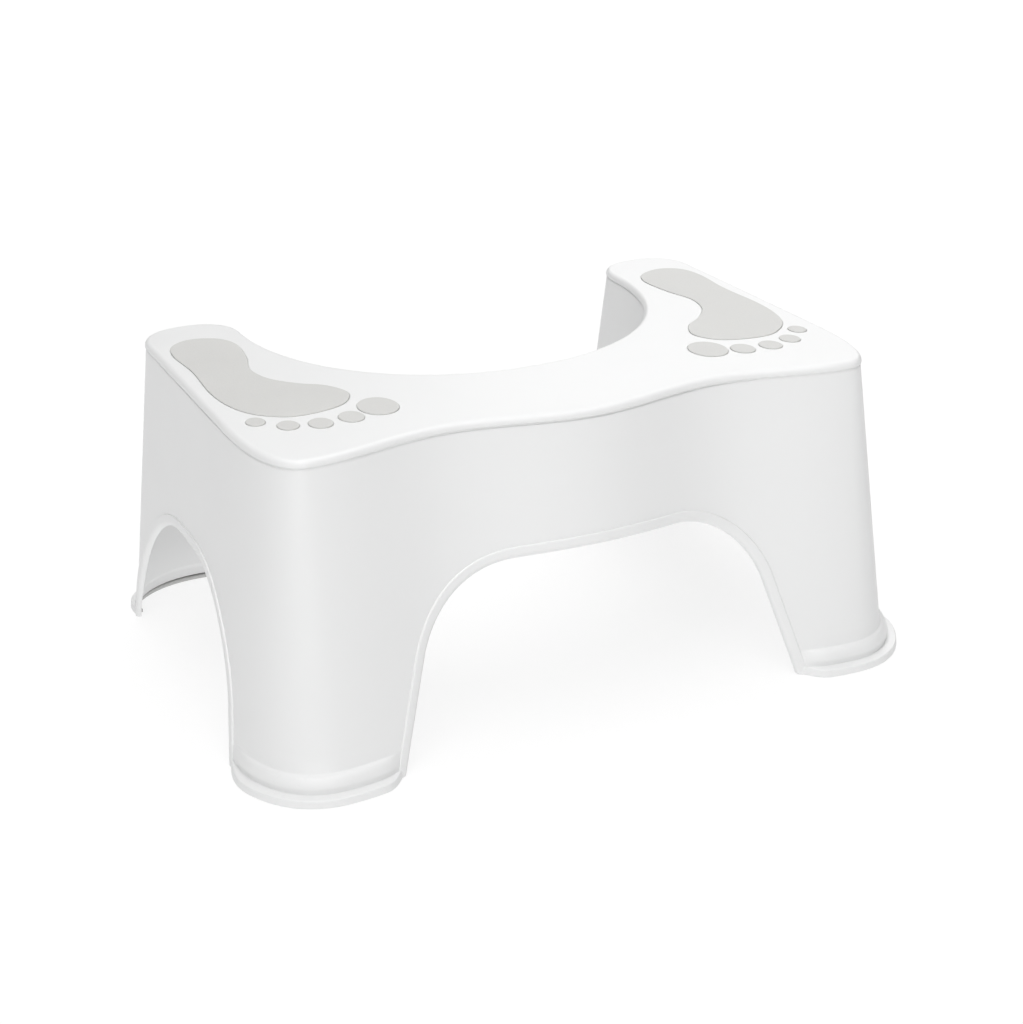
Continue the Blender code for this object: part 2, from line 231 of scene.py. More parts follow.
def addPiece(name, points, faces, slotName, nodes=()):
    # Points as an (n, 3) array; all faces turn round if the solid's volume comes out negative.
    fanned = [(face[0], face[step], face[step + 1])
              for face in faces for step in range(1, len(face) - 1)]
    corners = points[np.array(fanned)]
    volume = np.einsum("ij,ij->", corners[:, 0], np.cross(corners[:, 1], corners[:, 2])) / 6
    if volume < 0:
        faces = [face[::-1] for face in faces]
    mesh = bpy.data.meshes.new(name)
    mesh.from_pydata(points.tolist(), [], faces)
    mesh.validate()
    mesh.materials.append(materials[slotName])
    mesh.shade_smooth()
    mesh.set_sharp_from_angle(angle=creaseAngle)
    piece = bpy.data.objects.new(name, mesh)
    bpy.context.collection.objects.link(piece)
    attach(piece, "root")
    if nodes:
        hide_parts(*nodes)


def ringIndex(rings, count, first=0):
    # Numbers of the points, one row for each ring.
    return first + np.arange(rings * count).reshape(rings, count)


def ringQuads(index):
    # Quads between neighbouring rings of points, closed round each ring.
    lower, upper = index[:-1], index[1:]
    quads = np.stack([lower, np.roll(lower, -1, 1), np.roll(upper, -1, 1), upper], 2)
    return quads.reshape(-1, 4).tolist()


def tubeFaces(rings, count, first=0):
    # The quads of a tube, with a many-sided face at either end.
    index = ringIndex(rings, count, first)
    return ringQuads(index) + [index[0, ::-1].tolist(), index[-1].tolist()]


def unit(vectors):
    # The rows of an array, each brought to length 1.
    return vectors / np.linalg.norm(vectors, axis=1)[:, None]


def quarterTurn(count):
    # Angles from 0 to a quarter turn in equal steps.
    return np.linspace(0, math.pi / 2, count)


def circlePoints(count):
    # Cosine and sine of evenly spaced angles round the whole circle.
    angle = np.linspace(0, 2 * math.pi, count, endpoint=False)
    return np.stack([np.cos(angle), np.sin(angle)], 1)


def roundedCorners(corners, steps):
    # Straight runs between corners (x, y, radius), each corner turned into an arc that meets both.
    points = []
    for number, (x, y, radius) in enumerate(corners):
        here = np.array([x, y])
        if radius == 0:
            points.append(here[None])
            continue
        back = np.array(corners[number - 1][:2]) - here
        ahead = np.array(corners[(number + 1) % len(corners)][:2]) - here
        back, ahead = back / np.linalg.norm(back), ahead / np.linalg.norm(ahead)
        half = math.acos(np.clip(back @ ahead, -1, 1)) / 2
        start = here + back * radius / math.tan(half)
        centre = here + (back + ahead) / np.linalg.norm(back + ahead) * radius / math.sin(half)
        turn = np.linspace(0, math.pi - 2 * half, steps)[:, None]
        side = (here - start) / np.linalg.norm(here - start) * radius
        points.append(centre + (start - centre) * np.cos(turn) + side * np.sin(turn))
    return np.concatenate(points)


def lengthAlong(points):
    # A polyline's length from its start to each of its points.
    return np.concatenate([[0], np.cumsum(np.linalg.norm(np.diff(points, axis=0), axis=1))])


def readAt(places, marks, table):
    # The rows of a table that has one row for each mark, read at places between the marks.
    return np.stack([np.interp(places, marks, column) for column in table.T], 1)


def outwardNormals(loop):
    # Unit normals of a left-turning loop, square to the line between each point's two neighbours.
    run = np.roll(loop, -1, 0) - np.roll(loop, 1, 0)
    return unit(np.stack([run[:, 1], -run[:, 0]], 1))


# Plan of the deck and the arches through the skirt

plan = {
    "deckHeight": shellHigh.z, "halfLength": 0.2115, "halfDepth": 0.1425,
    "draft": math.radians(7.2),
    "frontBulge": 0.0150, "scoopFromMiddle": 0.0940, "lobeDepth": 0.0150,
    "cornerLength": 0.0275, "cornerDepth": 0.0800, "cornerPower": 2.4,
    "armWidth": 0.0650, "armEndDepth": 0.0325, "armPower": 2.3,
    "cutoutDepth": 0.1600, "cutoutPower": 2.1, "edgeRadius": 0.0036,
    "runPoints": 400, "curvePoints": 700, "densePoints": 4001,
    "softPoints": 11, "columns": 470, "edgeWeight": 0.35,
}
arches = {
    "floor": shellLow.z, "floorSlack": 1e-6,
    "frontHalfWidth": 0.1445, "frontHeight": 0.1270, "frontCrown": 0.0065,
    "frontLean": 0.0385 / 0.1270, "frontShoulder": 0.0750, "frontCrownRadius": 0.5000,
    "endFront": 0.1020, "endBack": 0.1310, "endHeight": 0.1110,
    "endFrontLean": 0.0170 / 0.1110, "endBackLean": 0.0490 / 0.1110,
    "endFrontShoulder": 0.0860, "endBackShoulder": 0.1051,
    "backHeight": 0.1190, "backShoulder": 0.0650,
    "below": 0.02, "beyond": 0.5,                   # how far the profiles run on past the stool
    "arcPoints": 80, "probeTop": 0.14, "probes": 281, "halvings": 18,
}
endMiddle = (arches["endBack"] - arches["endFront"]) / 2


def superellipse(centre, half, power, start, end):
    # centre + half * |cos|, |sin| to the power 2 / power, with their signs, over a range of angles.
    angle = np.linspace(start, end, plan["curvePoints"])
    wave = np.stack([np.cos(angle), np.sin(angle)], 1)
    return np.array(centre) + np.array(half) * np.sign(wave) * np.abs(wave) ** (2 / power)


def easedRun(start, end):
    # From start to end, level at both, y following half a cosine wave.
    share = np.linspace(0, 1, plan["runPoints"])
    eased = (1 - np.cos(math.pi * share)) / 2
    x = start[0] + (end[0] - start[0]) * share
    y = start[1] + (end[1] - start[1]) * eased
    return np.stack([x, y], 1)


def halfOutline():
    # Right half of the deck's edge, from the middle of the front to the middle of the cut-out, in
    # points at equal steps of its length.
    use = plan
    lobeX = use["halfLength"] - use["cornerLength"]
    scoop = (use["scoopFromMiddle"], -use["halfDepth"] + use["lobeDepth"])
    sideStart = -use["halfDepth"] + use["cornerDepth"]
    sideEnd = use["halfDepth"] - use["armEndDepth"]
    corner = (use["cornerLength"], use["cornerDepth"])
    arm = (use["armWidth"] / 2, use["armEndDepth"])
    cutout = (use["halfLength"] - use["armWidth"], use["cutoutDepth"])
    line = np.concatenate([
        easedRun((0, scoop[1] - use["frontBulge"]), scoop),
        easedRun(scoop, (lobeX, -use["halfDepth"])),
        superellipse((lobeX, sideStart), corner, use["cornerPower"], -math.pi / 2, 0),
        superellipse((use["halfLength"] - arm[0], sideEnd), arm, use["armPower"], 0, math.pi),
        superellipse((0, sideEnd), cutout, use["cutoutPower"], 0, -math.pi / 2),
    ])
    length = lengthAlong(line)
    points = readAt(np.linspace(0, length[-1], use["densePoints"]), length, line)
    points[[0, -1], 0] = 0
    return points


def drafted(z):
    # How far the skirt stands outside the deck's edge at a height.
    return (plan["deckHeight"] - plan["edgeRadius"] - z) * math.tan(plan["draft"])


def sideNormals(points):
    # Outward normals in plan of the right half, level at its two ends, averaged with a bell-shaped
    # weight over a few neighbours.
    mirrored = np.concatenate([points[:0:-1] * (-1, 1), points, points[-2:0:-1] * (-1, 1)])
    normal = outwardNormals(mirrored)
    window = np.hanning(plan["softPoints"])
    window /= window.sum()
    margin = plan["softPoints"] // 2
    wrapped = np.concatenate([normal[-margin:], normal, normal[:margin]])
    soft = np.stack([np.convolve(column, window, "valid") for column in wrapped.T], 1)
    return unit(soft[len(points) - 1:2 * len(points) - 1])


def upwards(profile):
    # A profile's points in the order of their heights.
    return profile[np.argsort(profile[:, 1])]


def archProfiles():
    # Sides of the openings as tables of (place, height): leaning lines that arcs join at the top.
    use = arches
    below, beyond, count = use["below"], use["beyond"], use["arcPoints"]
    spring = use["frontHeight"] - use["frontCrown"]
    springX = use["frontHalfWidth"] - use["frontLean"] * spring
    footX = use["frontHalfWidth"] + use["frontLean"] * below
    front = roundedCorners([
        (-footX, -below, 0), (footX, -below, 0), (springX, spring, use["frontShoulder"]),
        (0, use["frontHeight"], use["frontCrownRadius"]),
        (-springX, spring, use["frontShoulder"])], count)
    footFront = -use["endFront"] - use["endFrontLean"] * below
    footBack = use["endBack"] + use["endBackLean"] * below
    height = use["endHeight"]
    end = roundedCorners([
        (footFront, -below, 0), (footBack, -below, 0),
        (use["endBack"] - use["endBackLean"] * height, height, use["endBackShoulder"]),
        (use["endFrontLean"] * height - use["endFront"], height, use["endFrontShoulder"])], count)
    height = use["backHeight"]
    back = roundedCorners([
        (-beyond, -below, 0), (footBack, -below, 0),
        (use["endBack"] - use["endBackLean"] * height, height, use["backShoulder"]),
        (-beyond, height, 0)], count)
    return {
        "front": upwards(front[front[:, 0] >= 0]), "back": back[1:-1],
        "endFront": upwards(end[end[:, 0] <= endMiddle]),
        "endBack": upwards(end[end[:, 0] > endMiddle]),
    }


profiles = archProfiles()


def profileAt(name, z):
    # Where an opening's side lies at a height.
    return np.interp(z, profiles[name][:, 1], profiles[name][:, 0])


def openingDepth(x, y, z):
    # How far a point of the skirt lies inside an opening; negative where there is plastic. Outside
    # the arms' middle lines the end arch counts. Between them it is the front arch at the front,
    # and the back one from where the end arches start.
    use = arches
    front = np.minimum(profileAt("front", z) - np.abs(x), profiles["front"][-1, 1] - z)
    end = np.minimum(y - profileAt("endFront", z), profileAt("endBack", z) - y)
    end = np.minimum(end, use["endHeight"] - z)
    back = np.minimum(profileAt("back", z) - y, use["backHeight"] - z)
    between = np.where(y < -use["endFront"], front, back)
    return np.where(np.abs(x) > plan["halfLength"] - plan["armWidth"] / 2, end, between)


def edgeHeights(points, normals):
    # The height where each upright line of the skirt ends: an arch's edge, or the floor. A ladder
    # of levels finds the last one inside an opening, and halving finds the edge just above it.
    use = arches
    levels = np.linspace(0, use["probeTop"], use["probes"])
    reach = drafted(levels)
    x = points[:, :1] + normals[:, :1] * reach
    y = points[:, 1:] + normals[:, 1:] * reach
    inside = openingDepth(x, y, levels[None]) > 0
    opened = inside.any(1)
    last = inside.shape[1] - 1 - np.argmax(inside[:, ::-1], 1)
    low = np.where(opened, levels[last], 0.0)
    high = low + levels[1]
    for _ in range(use["halvings"]):
        middle = (low + high) / 2
        place = points + normals * drafted(middle)[:, None]
        deep = openingDepth(place[:, 0], place[:, 1], middle) > 0
        low, high = np.where(deep, middle, low), np.where(deep, high, middle)
    return np.where(opened, np.maximum(low, use["floor"]), use["floor"])


def spreadColumns():
    # The right half's columns and their normals, at equal steps of the outline's length and the
    # edge's weighted rise taken together, so that the arches' steep sides get columns too.
    dense = halfOutline()
    denseNormals = sideNormals(dense)
    rise = plan["edgeWeight"] * np.diff(edgeHeights(dense, denseNormals))
    step = np.hypot(np.linalg.norm(np.diff(dense, axis=0), axis=1), rise)
    travelled = np.concatenate([[0], np.cumsum(step)])
    numbers = np.arange(len(dense))
    picked = np.interp(np.linspace(0, travelled[-1], plan["columns"] + 1), travelled, numbers)
    return readAt(picked, numbers, dense), unit(readAt(picked, numbers, denseNormals))


def mirroredColumns(half):
    # The whole loop from its right half, front middle first.
    return np.concatenate([half, half[-2:0:-1] * (-1, 1)])


halfPoints, halfNormals = spreadColumns()
outline = mirroredColumns(halfPoints)
normals = mirroredColumns(halfNormals)
edge = edgeHeights(outline, normals)
onArch = edge > arches["floor"] + arches["floorSlack"]
print("outline of %d columns" % len(outline))


# Outlines of the footprint pads, which the deck's recesses follow too

pads = {
    "soleLength": 0.1770, "soleWidth": 0.0780, "soleMargin": 0.0085, "heelMargin": 0.0355,
    "thickness": 0.0012, "proud": cadBox[1].z - shellHigh.z, "edge": 0.0004, "borderShare": 1.5,
    "outlineSteps": 10, "toeSides": 72, "edgePoints": 6,
    "gap": 0.0003, "recessEdge": 0.0004, "recessFloor": 0.0001, "recessBorder": 0.0003,
    "recessPoints": 5,
    "soleShares": [                                 # shares of the sole's width and length
        (0.00, 0.16), (0.03, 0.09), (0.15, 0.03), (0.36, 0.00), (0.58, 0.00), (0.76, 0.05),
        (0.88, 0.12), (0.96, 0.23), (0.99, 0.38), (0.97, 0.62), (1.00, 0.83), (0.94, 0.95),
        (0.75, 1.00), (0.52, 0.96), (0.42, 0.86), (0.45, 0.69), (0.52, 0.55), (0.46, 0.42),
        (0.29, 0.32), (0.10, 0.25)],
    "toeShares": [                                  # place across and along, then the two sizes
        (-0.10, -0.040, 0.32, 0.41), (0.17, -0.096, 0.20, 0.25), (0.43, -0.107, 0.19, 0.23),
        (0.67, -0.076, 0.17, 0.21), (0.87, 0.008, 0.15, 0.19)],
}


def smoothLoop(points, steps):
    # A closed curve through the points: cubic pieces whose ends lean along their neighbours' chord.
    before, here = np.roll(points, 1, 0)[:, None], points[:, None]
    after, later = np.roll(points, -1, 0)[:, None], np.roll(points, -2, 0)[:, None]
    share = (np.arange(steps) / steps)[None, :, None]
    curve = here + (after - before) * share / 2
    curve = curve + (before * 2 - here * 5 + after * 4 - later) * share ** 2 / 2
    curve = curve + (here * 3 - before - after * 3 + later) * share ** 3 / 2
    return curve.reshape(-1, 2)


def leftTurning(loop):
    # The loop with its points in the order that keeps its inside on the left, by its area's sign.
    ahead = np.roll(loop, -1, 0)
    area = np.sum(loop[:, 0] * ahead[:, 1] - loop[:, 1] * ahead[:, 0])
    return loop if area > 0 else loop[::-1]


def loopRing(loop, reach, z):
    # A left-turning loop moved outwards by reach, at height z.
    return np.concatenate([loop + outwardNormals(loop) * reach, np.full((len(loop), 1), z)], 1)


def padLoops():
    # Each pad's piece name, node name and outline, for both feet: smooth soles and elliptic toes.
    use = pads
    size = np.array([use["soleWidth"], use["soleLength"]])
    heel = np.array([plan["halfLength"] - use["soleMargin"], plan["halfDepth"] - use["heelMargin"]])
    origin = heel - size
    circle = circlePoints(use["toeSides"])
    found = []
    for sideName, side in (("left", -1), ("right", 1)):
        sole = smoothLoop(origin + np.array(use["soleShares"]) * size, use["outlineSteps"])
        found.append((sideName + "SolePad", sideName + "_sole_pad", leftTurning(sole * (side, 1))))
        for number, (across, along, width, length) in enumerate(use["toeShares"], 1):
            middle = origin + np.array([across, along]) * size
            toe = middle + circle * np.array([width, length]) * use["soleWidth"] / 2
            found.append(("%sToePad%d" % (sideName, number),
                          "%s_toe_pad_%d" % (sideName, number), leftTurning(toe * (side, 1))))
    return found


# Shell

shell = {
    "wall": 0.0026, "deckThickness": 0.0030, "chamfer": 0.0004,
    "rimHeight": 0.0050, "rimOverhang": 0.0008, "rimGroove": 0.0003,
    "flangeHeight": 0.0165, "flangeReach": 0.0105, "flangeRim": 0.0052, "flangeEdge": 0.0007,
    "flangeEnd": 0.0006, "beadReach": 0.0050, "beadMiddle": 0.0098, "beadGroove": 0.0010,
    "frontFade": 0.0180, "endFade": 0.0340, "backFade": 0.0240,
    "rimShares": (0.35, 0.65), "ledgeRise": 0.05,
    "ledgeCorner": [(0.12, 0.6), (0.40, 0.1)],      # up and out, as shares of the flange's edge
    "grooveStart": 0.0010,                          # under the rim's foot
    "grooveRows": [                                 # over the rim's foot, share of the groove
        (-0.0006, 0.6), (-0.0002, 1.0), (0.0001, 1.0)],
    "overhangRows": [                               # over the rim's foot, short of the overhang
        (0.0004, 0.0006), (0.0006, 0.0002), (0.0010, 0.0)],
    "deckBorderShare": 1.25, "wallEnd": 0.0016, "wallRows": 16, "innerRows": 9,
    "roundPoints": 5, "swellPoints": 7, "beadPoints": 15, "rimPoints": 11,
}
rimFoot = plan["deckHeight"] - shell["rimHeight"]
ceiling = plan["deckHeight"] - shell["deckThickness"]


def flangeFades():
    # Share of the flange at each column: 0 at an arch, then a quarter sine up to 1.
    use = shell
    footX = np.abs(outline[:, 0] + normals[:, 0] * drafted(0))
    footY = outline[:, 1] + normals[:, 1] * drafted(0)
    back = (footY - arches["endBack"]) / use["backFade"]
    front = np.minimum((footX - arches["frontHalfWidth"]) / use["frontFade"],
                       (-arches["endFront"] - footY) / use["endFade"])
    return np.sin(math.pi / 2 * np.clip(np.where(footY > 0, back, front), 0, 1))


def flangeRows():
    # Height over the foot's edge and reach of the flange: rounded rim, ledge, then a bead that
    # swells from the ledge on half a cosine wave and runs up into the leg on a quarter ellipse.
    use = shell
    reach, rim, turn = use["flangeReach"], use["flangeRim"], use["flangeEdge"]
    bead, middle, groove = use["beadReach"], use["beadMiddle"], use["beadGroove"]
    start, corner = rim + turn, bead - groove
    low, high = quarterTurn(use["roundPoints"]), quarterTurn(use["beadPoints"])[1:-1]
    swell = np.linspace(0, 1, use["swellPoints"])
    wave = (1 + np.cos(math.pi * swell)) / 2
    return np.concatenate([
        np.stack([turn * (1 - np.cos(low)), reach - turn + turn * np.sin(low)], 1),
        [(rim * share, reach) for share in use["rimShares"]],
        np.stack([rim - turn + turn * np.sin(low), reach - turn * (1 - np.cos(low))], 1),
        [(rim + turn * use["ledgeRise"], (reach + corner) / 2)],
        [(rim + turn * up, corner + turn * out) for up, out in use["ledgeCorner"]],
        np.stack([start + (middle - start) * swell, bead - groove * wave], 1),
        np.stack([middle + (use["flangeHeight"] - middle) * np.sin(high), bead * np.cos(high)], 1),
        [(use["flangeHeight"] + use["flangeEnd"], 0.0)],
    ])


def upTheWall(foot, wallHeights):
    # For the foot's rows and then the wall's: the height as a share of the way from the floor to
    # the rim's foot, and the flange's reach, which is nothing on the wall.
    heights = np.concatenate([foot[:, 0], wallHeights])
    flange = np.concatenate([foot[:, 1], np.zeros(len(wallHeights))])
    return heights / (rimFoot - arches["floor"]), flange


def outerRows():
    # Bottom to top: the flange, then the wall's outer face, which stops short of the rim's foot.
    use = shell
    foot = flangeRows()
    top = rimFoot - arches["floor"] - use["wallEnd"]
    return upTheWall(foot, np.linspace(foot[-1, 0], top, use["wallRows"])[1:])


def innerRows():
    # Bottom to top: the flange's hollow, which fades out into the leg, then the wall's inner face.
    use = shell
    rim, top, wall = use["flangeRim"], use["flangeHeight"], use["wall"]
    reach, bead = use["flangeReach"], use["beadReach"]
    foot = np.array([
        [use["chamfer"], reach], [rim - wall, reach], [rim, bead - use["beadGroove"]],
        [use["beadMiddle"], bead], [top - wall, bead / 2], [top - wall / 2, bead / 6], [top, 0]])
    return upTheWall(foot, np.linspace(top, ceiling - arches["floor"] - wall, use["innerRows"])[1:])


def rimRows():
    # Height and reach from the deck's edge line: shadow groove, overhanging rim, then a quarter
    # round on to the deck.
    use = shell
    deck, radius = plan["deckHeight"], plan["edgeRadius"]
    groove, over = use["rimGroove"], use["rimOverhang"]
    turn = quarterTurn(use["rimPoints"])
    below = rimFoot - use["grooveStart"]
    return np.concatenate([
        [(below, drafted(below))],
        [(rimFoot + up, drafted(rimFoot) - groove * share) for up, share in use["grooveRows"]],
        [(rimFoot + up, over - short) for up, short in use["overhangRows"]],
        np.stack([deck - radius * (1 - np.sin(turn)), over - radius * (1 - np.cos(turn))], 1),
        [(deck, over - radius * use["deckBorderShare"])],
    ])


def skinRing(z, reach):
    # One row of the skin: outline + normal * reach, at height z; both may vary along the row.
    z = np.broadcast_to(z, edge.shape)
    return np.concatenate([outline + normals * np.reshape(reach, (-1, 1)), z[:, None]], 1)


def makeShell():
    # Rows go down the inside, round the foot's edge, up the outside and over the rim to the deck.
    use = shell
    wall, over = use["wall"], use["rimOverhang"]
    fade = flangeFades()
    rings = []
    for turn in np.linspace(math.pi / 2, 0, use["roundPoints"])[:-1]:
        z = ceiling - wall * (1 - math.sin(turn))
        rings.append(skinRing(z, drafted(z) - wall - over - wall * (1 - math.cos(turn))))
    share, flange = innerRows()
    for up, out in zip(share[::-1], flange[::-1]):
        z = edge + (rimFoot - edge) * up
        leaned = over * min(1, max(0, 4 * up - 3))      # the top quarter leans in under the rim
        rings.append(skinRing(z, drafted(z) - wall - leaned + out * fade))
    rings.append(skinRing(edge, drafted(edge) - wall + use["chamfer"] + use["flangeReach"] * fade))
    share, flange = outerRows()
    for up, out in zip(share, flange):
        z = edge + (rimFoot - edge) * up
        short = use["flangeEdge"] * (1 - fade) * (up == 0)      # sets the first row back at arches
        rings.append(skinRing(z, drafted(z) + out * fade - short))
    for z, reach in rimRows():
        rings.append(skinRing(z, reach))
    index = ringIndex(len(rings), len(edge))
    deckPoints, deckFaces = deckWithRecesses(rings[-1], index[-1], index.size)
    faces = ringQuads(index) + [index[0, ::-1].tolist()] + deckFaces
    points = np.concatenate(rings + deckPoints)
    addPiece("shellSkin", points, faces, "white_plastic", ["stool_shell"])


def deckWithRecesses(rim, rimIndex, first):
    # Each recess is a loop that drops over a small round on to a level floor. Triangles fill the
    # deck between the rim and the recesses.
    use = pads
    deck, drop, gap = plan["deckHeight"], use["recessEdge"], use["gap"]
    rows = [(gap + drop + use["recessBorder"], deck)]
    rows += [(gap + drop * (1 - math.sin(turn)), deck - drop * (1 - math.cos(turn)))
             for turn in quarterTurn(use["recessPoints"])]
    rows.append((gap, deck + use["proud"] - use["thickness"] - use["recessFloor"]))
    points, faces, edges, edgeIndex = [], [], [rim], [rimIndex]
    for _, _, loop in padLoops():
        rings = [loopRing(loop, reach, z) for reach, z in rows]
        index = ringIndex(len(rings), len(loop), first)
        first += index.size
        faces += ringQuads(index) + [index[-1].tolist()]
        points += rings
        edges.append(rings[0])
        edgeIndex.append(index[0])
    flat = np.concatenate(edges)
    order = np.concatenate(edgeIndex)
    triples = np.array(tessellate_polygon([[Vector(corner) for corner in loop] for loop in edges]))
    a, b, c = (flat[triples[:, corner], :2] for corner in range(3))
    area = (b[:, 0] - a[:, 0]) * (c[:, 1] - a[:, 1]) - (b[:, 1] - a[:, 1]) * (c[:, 0] - a[:, 0])
    triples = np.where(area[:, None] < 0, triples[:, ::-1], triples)
    return points, faces + order[triples].tolist()


makeShell()
print("shell made")


# Bands along the arches

band = {
    "width": 0.0052, "proud": 0.0012, "back": 0.0003,
    "lip": 0.0026,                                  # how far it stands into the opening
    "edgeRadius": 0.0035, "stepRadius": 0.0011, "innerRadius": 0.0005,
    "arcPoints": 8, "step": 0.0016, "endSteps": 2,
    "cornerShare": 0.93,                            # of the half width, which marks the front foot
}


def edgePath(columnsOfArch):
    # The arch's edge as a path in space, carried on in a straight line to the floor at both ends,
    # and the skirt's outward direction beside it, both at equal steps of the path's length.
    floor, tilt = arches["floor"], plan["draft"]
    z = edge[columnsOfArch]
    path = np.concatenate([
        outline[columnsOfArch] + normals[columnsOfArch] * drafted(z)[:, None], z[:, None]], 1)
    facing = np.concatenate([
        normals[columnsOfArch] * math.cos(tilt), np.full((len(z), 1), math.sin(tilt))], 1)
    first = path[0] + (path[0] - path[1]) * (path[0, 2] - floor) / (path[1, 2] - path[0, 2])
    last = path[-1] + (path[-1] - path[-2]) * (path[-1, 2] - floor) / (path[-2, 2] - path[-1, 2])
    path = np.concatenate([[first], path, [last]])
    facing = np.concatenate([facing[:1], facing, facing[-1:]])
    length = lengthAlong(path)
    whole = length[-1]
    clear = band["endSteps"] * band["step"]         # room for the end rings to tilt on to the floor
    places = np.linspace(clear, whole - clear, int(whole / band["step"]))
    both = readAt(np.concatenate([[0], places, [whole]]), length, np.concatenate([path, facing], 1))
    return both[:, :3], unit(both[:, 3:])


def makeBand(name, columnsOfArch):
    # A rounded section, (into the wall, outwards), carried along the edge; its end rings are slid
    # along the path on to the floor's plane.
    use = band
    path, facing = edgePath(columnsOfArch)
    tangent = unit(np.gradient(path, axis=0))
    inward = np.cross(facing, tangent)
    low, high, inner = -shell["wall"] - use["back"], use["proud"], use["innerRadius"]
    section = roundedCorners([
        (-use["lip"], low, inner), (-use["lip"], high, use["edgeRadius"]),
        (use["width"], high, use["stepRadius"]), (use["width"], low, inner)], use["arcPoints"])
    across, out = section[None, :, :1], section[None, :, 1:]
    rings = path[:, None] + inward[:, None] * across + facing[:, None] * out
    for end in (0, -1):
        drop = (arches["floor"] - rings[end, :, 2]) / tangent[end, 2]
        rings[end] += tangent[end] * drop[:, None]
    faces = tubeFaces(len(rings), len(section))
    addPiece(name, rings.reshape(-1, 3), faces, "white_plastic")


def archColumns(low, high):
    # Columns between two places round the loop whose edge is an arch, in order.
    order = np.arange(low, high) % len(edge)
    return order[onArch[order]]


wayRound = 2 * plan["columns"]                      # columns of the whole loop
tip = int(np.argmax(halfPoints[:, 1]))              # the right arm's tip
sideMiddle = int(np.argmin(np.abs(halfPoints[:tip, 1] - endMiddle)))
cornerX = halfPoints[:, 0].max() * band["cornerShare"]
frontFoot = int(np.argmin(np.abs(halfPoints[:sideMiddle, 0] - cornerX)))
makeBand("frontArchBand", archColumns(-frontFoot, frontFoot))
makeBand("rightArchBand", archColumns(frontFoot, tip))
makeBand("backArchBand", archColumns(tip, wayRound - tip))
makeBand("leftArchBand", archColumns(wayRound - tip, wayRound - frontFoot))
print("arch bands made")


# Ribs under the deck

ribs = {
    "thickness": 0.0018, "drop": 0.0130, "pitch": 0.0470, "armPitch": 0.0450,
    "bite": 0.0012, "round": 0.0006, "arcPoints": 5, "rings": 12,
}


def inwardSpans(loop, axis, level):
    # Where the line across the loop at a level lies inside it: its crossings in order, two by two.
    other = 1 - axis
    here, there = loop, np.roll(loop, -1, 0)
    crossing = (here[:, axis] - level) * (there[:, axis] - level) < 0
    here, there = here[crossing], there[crossing]
    share = (level - here[:, axis]) / (there[:, axis] - here[:, axis])
    places = np.sort(here[:, other] + share * (there[:, other] - here[:, other]))
    return list(zip(places[0::2], places[1::2]))


def ribSolid(start, end, top, bottom):
    # A thin wall from start to end in plan, with a rounded lower edge.
    use = ribs
    start, end = np.array(start), np.array(end)
    along = (end - start) / np.linalg.norm(end - start)
    across = np.array([-along[1], along[0]])
    half, radius = use["thickness"] / 2, use["round"]
    section = roundedCorners([
        (-half, top, 0), (-half, bottom, radius), (half, bottom, radius), (half, top, 0)],
        use["arcPoints"])
    rings = []
    for place in np.linspace(0, 1, use["rings"])[:, None]:
        flat = start + (end - start) * place + across * section[:, :1]
        rings.append(np.concatenate([flat, section[:, 1:]], 1))
    return np.stack(rings)


def makeRibs():
    # Ribs from wall to wall across the stool, from the middle of the deck back along the arms, and
    # ribs from front to back. Each bites a little into the ceiling and the walls.
    use = ribs
    top, bottom = ceiling + use["bite"], ceiling - use["drop"]
    inset = drafted((ceiling + bottom) / 2) - shell["wall"] - shell["rimOverhang"] + use["bite"]
    loop = outline + normals * inset
    sideEnd = plan["halfDepth"] - plan["armEndDepth"]
    middleY = (sideEnd - plan["cutoutDepth"] + plan["lobeDepth"] - plan["halfDepth"]) / 2
    armX = plan["halfLength"] - plan["armWidth"] / 2
    solids = []
    for number in range(math.floor((sideEnd - middleY) / use["armPitch"]) + 1):
        y = middleY + number * use["armPitch"]
        solids += [ribSolid((a, y), (b, y), top, bottom) for a, b in inwardSpans(loop, 1, y)]
    count = math.floor(armX / use["pitch"])
    for x in [number * use["pitch"] for number in range(-count, count + 1)] + [-armX, armX]:
        low, high = inwardSpans(loop, 0, x)[0]
        if abs(x) == armX:                          # the arms' own ribs start in the deck's middle
            low = max(low, middleY)
        solids.append(ribSolid((x, low), (x, high), top, bottom))
    points, faces = [], []
    for rings in solids:
        faces += tubeFaces(rings.shape[0], rings.shape[1], sum(len(part) for part in points))
        points.append(rings.reshape(-1, 3))
    addPiece("deckRibs", np.concatenate(points), faces, "white_plastic")


makeRibs()
print("ribs made")


# Footprint pads

def makePad(name, node, loop):
    # Side wall, a quarter round edge, a level border, then a level face.
    use = pads
    top, radius = plan["deckHeight"] + use["proud"], use["edge"]
    rows = [(0.0, top - use["thickness"])]
    rows += [(radius * (math.cos(turn) - 1), top - radius * (1 - math.sin(turn)))
             for turn in quarterTurn(use["edgePoints"])]
    rows.append((-radius * use["borderShare"], top))
    points = np.concatenate([loopRing(loop, reach, z) for reach, z in rows])
    addPiece(name, points, tubeFaces(len(rows), len(loop)), "pad_rubber", [node])


for name, node, loop in padLoops():
    makePad(name, node, loop)
print("pads made")


# Rubber strips under the feet

strips = {
    "width": 0.0040, "height": 0.0029, "clearance": 0.0003, "endGap": 0.0030,
    "edge": 0.0006, "arcPoints": 5,
}


